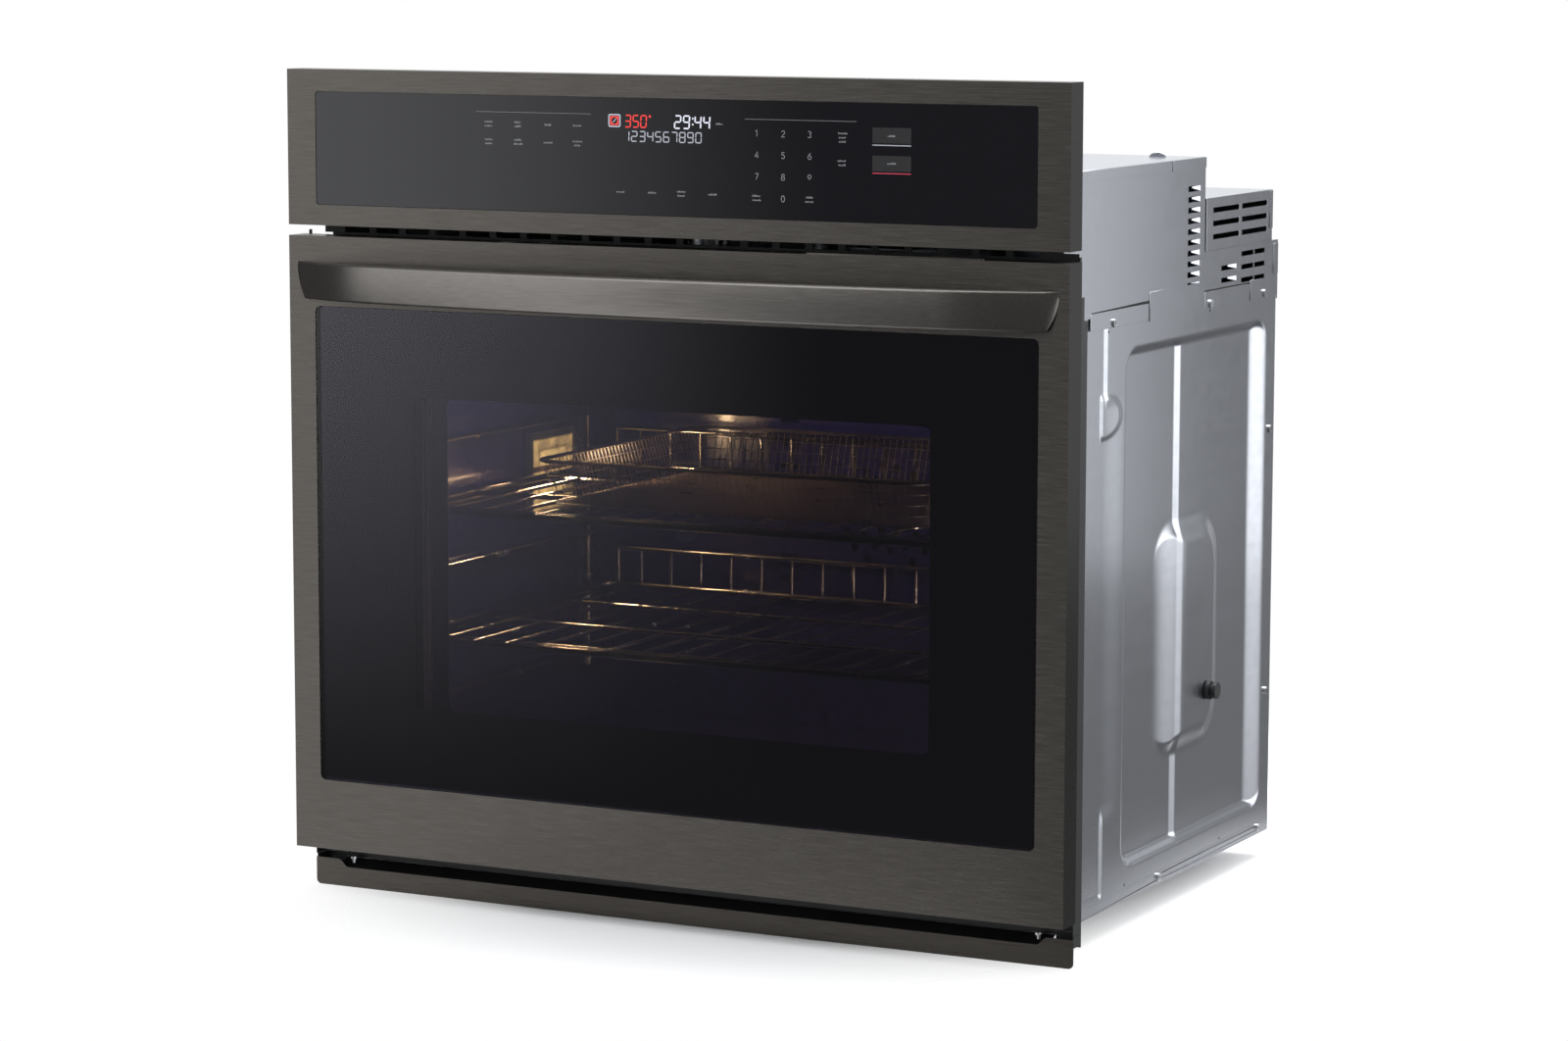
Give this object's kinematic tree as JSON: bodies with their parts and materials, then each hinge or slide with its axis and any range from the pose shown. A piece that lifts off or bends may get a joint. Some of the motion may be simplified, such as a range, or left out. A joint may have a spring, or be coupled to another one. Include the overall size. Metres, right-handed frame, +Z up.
{
  "type": "wall oven",
  "caption": "Built-in wall oven with a touch control panel over a drop-down glass door with a bowed bar handle, a lit cavity with sliding racks, and a galvanised casing.",
  "frame": {"origin": "on the base, at mid width, in the plane of the cabinet face that the side flanges rest against", "axes": "+X to the right seen from the front, +Y back into the cabinet, +Z up"},
  "size_m": [0.7556, 0.598, 0.742],
  "materials": {
    "black_stainless": "dark brushed stainless with a fine horizontal grain",
    "black_glass": "smoked black glass, polished",
    "clear_glass": "heat-resistant clear glass",
    "black_paint": "satin black paint",
    "galvanised": "galvanised sheet, satin with a faint spangle",
    "porcelain": "dark speckled porcelain enamel, glossy",
    "rack_chrome": "nickel-chrome plated wire",
    "element_sheath": "dark oxidised heating element sheath",
    "motor_metal": "laminated motor stack and zinc cap",
    "fan_aluminium": "pressed aluminium",
    "lamp_glass": "warm lamp glass",
    "screw_metal": "bright zinc plating",
    "hinge_steel": "plain pressed steel",
    "gasket": "woven glass-fibre rope",
    "mineral_wool": "mineral wool blanket",
    "rubber": "matt black rubber",
    "dark_plastic": "moulded black plastic",
    "white_plastic": "moulded off-white plastic",
    "circuit_board": "green circuit board with parts"
  },
  "bodies": {
    "root": {"control_panel_frame": "black_stainless", "control_glass": "black_glass", "display_module": "dark_plastic", "control_board": "circuit_board", "panel_chassis": "black_paint", "vent_trim": "black_paint", "front_frame": "black_paint", "side_trim_left": "black_paint", "side_trim_right": "black_paint", "bottom_trim": "black_stainless", "trim_screws": "screw_metal", "door_gasket": "gasket", "cavity_liner": "porcelain", "rack_guide_left": "rack_chrome", "rack_guide_right": "rack_chrome", "bake_element": "element_sheath", "broil_element": "element_sheath", "fan_cover": "porcelain", "convection_element": "element_sheath", "convection_motor": "motor_metal", "lamp_lens": "lamp_glass", "lamp_housing": "galvanised", "lamp_bulb": "lamp_glass", "temperature_sensor": "screw_metal", "insulation": "mineral_wool", "side_panel_left": "galvanised", "side_panel_right": "galvanised", "base_pan": "galvanised", "rear_panel": "galvanised", "deck_plate": "galvanised", "housing_cover": "galvanised", "rear_box_cover": "galvanised", "rear_lower_cover": "galvanised", "blower_housing": "galvanised", "blower_motor": "motor_metal", "exhaust_duct": "galvanised", "latch_housing": "galvanised", "door_switch": "dark_plastic", "power_board": "circuit_board", "terminal_block": "white_plastic", "conduit_gland": "dark_plastic", "side_bumpers": "rubber", "chassis_screws": "screw_metal", "hinge_arm_left": "hinge_steel", "hinge_arm_right": "hinge_steel"},
    "door": {"door_skin": "black_stainless", "door_outer_glass": "black_glass", "door_mid_glass": "clear_glass", "door_inner_glass": "clear_glass", "door_inner_panel": "porcelain", "door_handle": "black_stainless", "handle_brackets": "hinge_steel", "door_hinge_left": "hinge_steel", "door_hinge_right": "hinge_steel"},
    "upper_rack": {"upper_rack": "rack_chrome"},
    "lower_rack": {"lower_rack": "rack_chrome"},
    "convection_fan": {"convection_fan": "fan_aluminium"},
    "blower_wheel": {"blower_wheel": "fan_aluminium"},
    "latch_bolt": {"latch_bolt": "screw_metal"},
    "switch_plunger": {"switch_plunger": "white_plastic"}
  },
  "joints": [
    {"name": "door_hinge", "type": "hinge", "parent": "root", "child": "door", "pos_m": [0, -0.02, 0.018], "axis": [1, 0, 0], "range_deg": [0, 90], "stiffness_Nm_per_rad": 10, "springref_deg": -20.05},
    {"name": "lower_rack_slide", "type": "slide", "parent": "root", "child": "lower_rack", "axis": [0, -1, 0], "range_m": [0, 0.26]},
    {"name": "upper_rack_slide", "type": "slide", "parent": "root", "child": "upper_rack", "axis": [0, -1, 0], "range_m": [0, 0.18]},
    {"name": "switch_plunger_slide", "type": "slide", "parent": "root", "child": "switch_plunger", "axis": [0, -1, 0], "range_m": [0, 0.004]},
    {"name": "latch_bolt_slide", "type": "slide", "parent": "root", "child": "latch_bolt", "axis": [0, -1, 0], "range_m": [0, 0.016]},
    {"name": "convection_fan_spin", "type": "hinge", "parent": "root", "child": "convection_fan", "pos_m": [0, 0.425, 0.287], "axis": [0, 1, 0], "continuous": true},
    {"name": "blower_spin", "type": "hinge", "parent": "root", "child": "blower_wheel", "pos_m": [0.11, 0.2, 0.541], "axis": [0, 0, 1], "continuous": true}
  ],
  "couplings": [
    {"joint": "lower_rack_slide", "follows": "door_hinge", "m_per_rad": 0.16552},
    {"joint": "upper_rack_slide", "follows": "door_hinge", "m_per_rad": 0.11459},
    {"joint": "switch_plunger_slide", "follows": "door_hinge", "m_per_rad": 0.0025464}
  ]
}
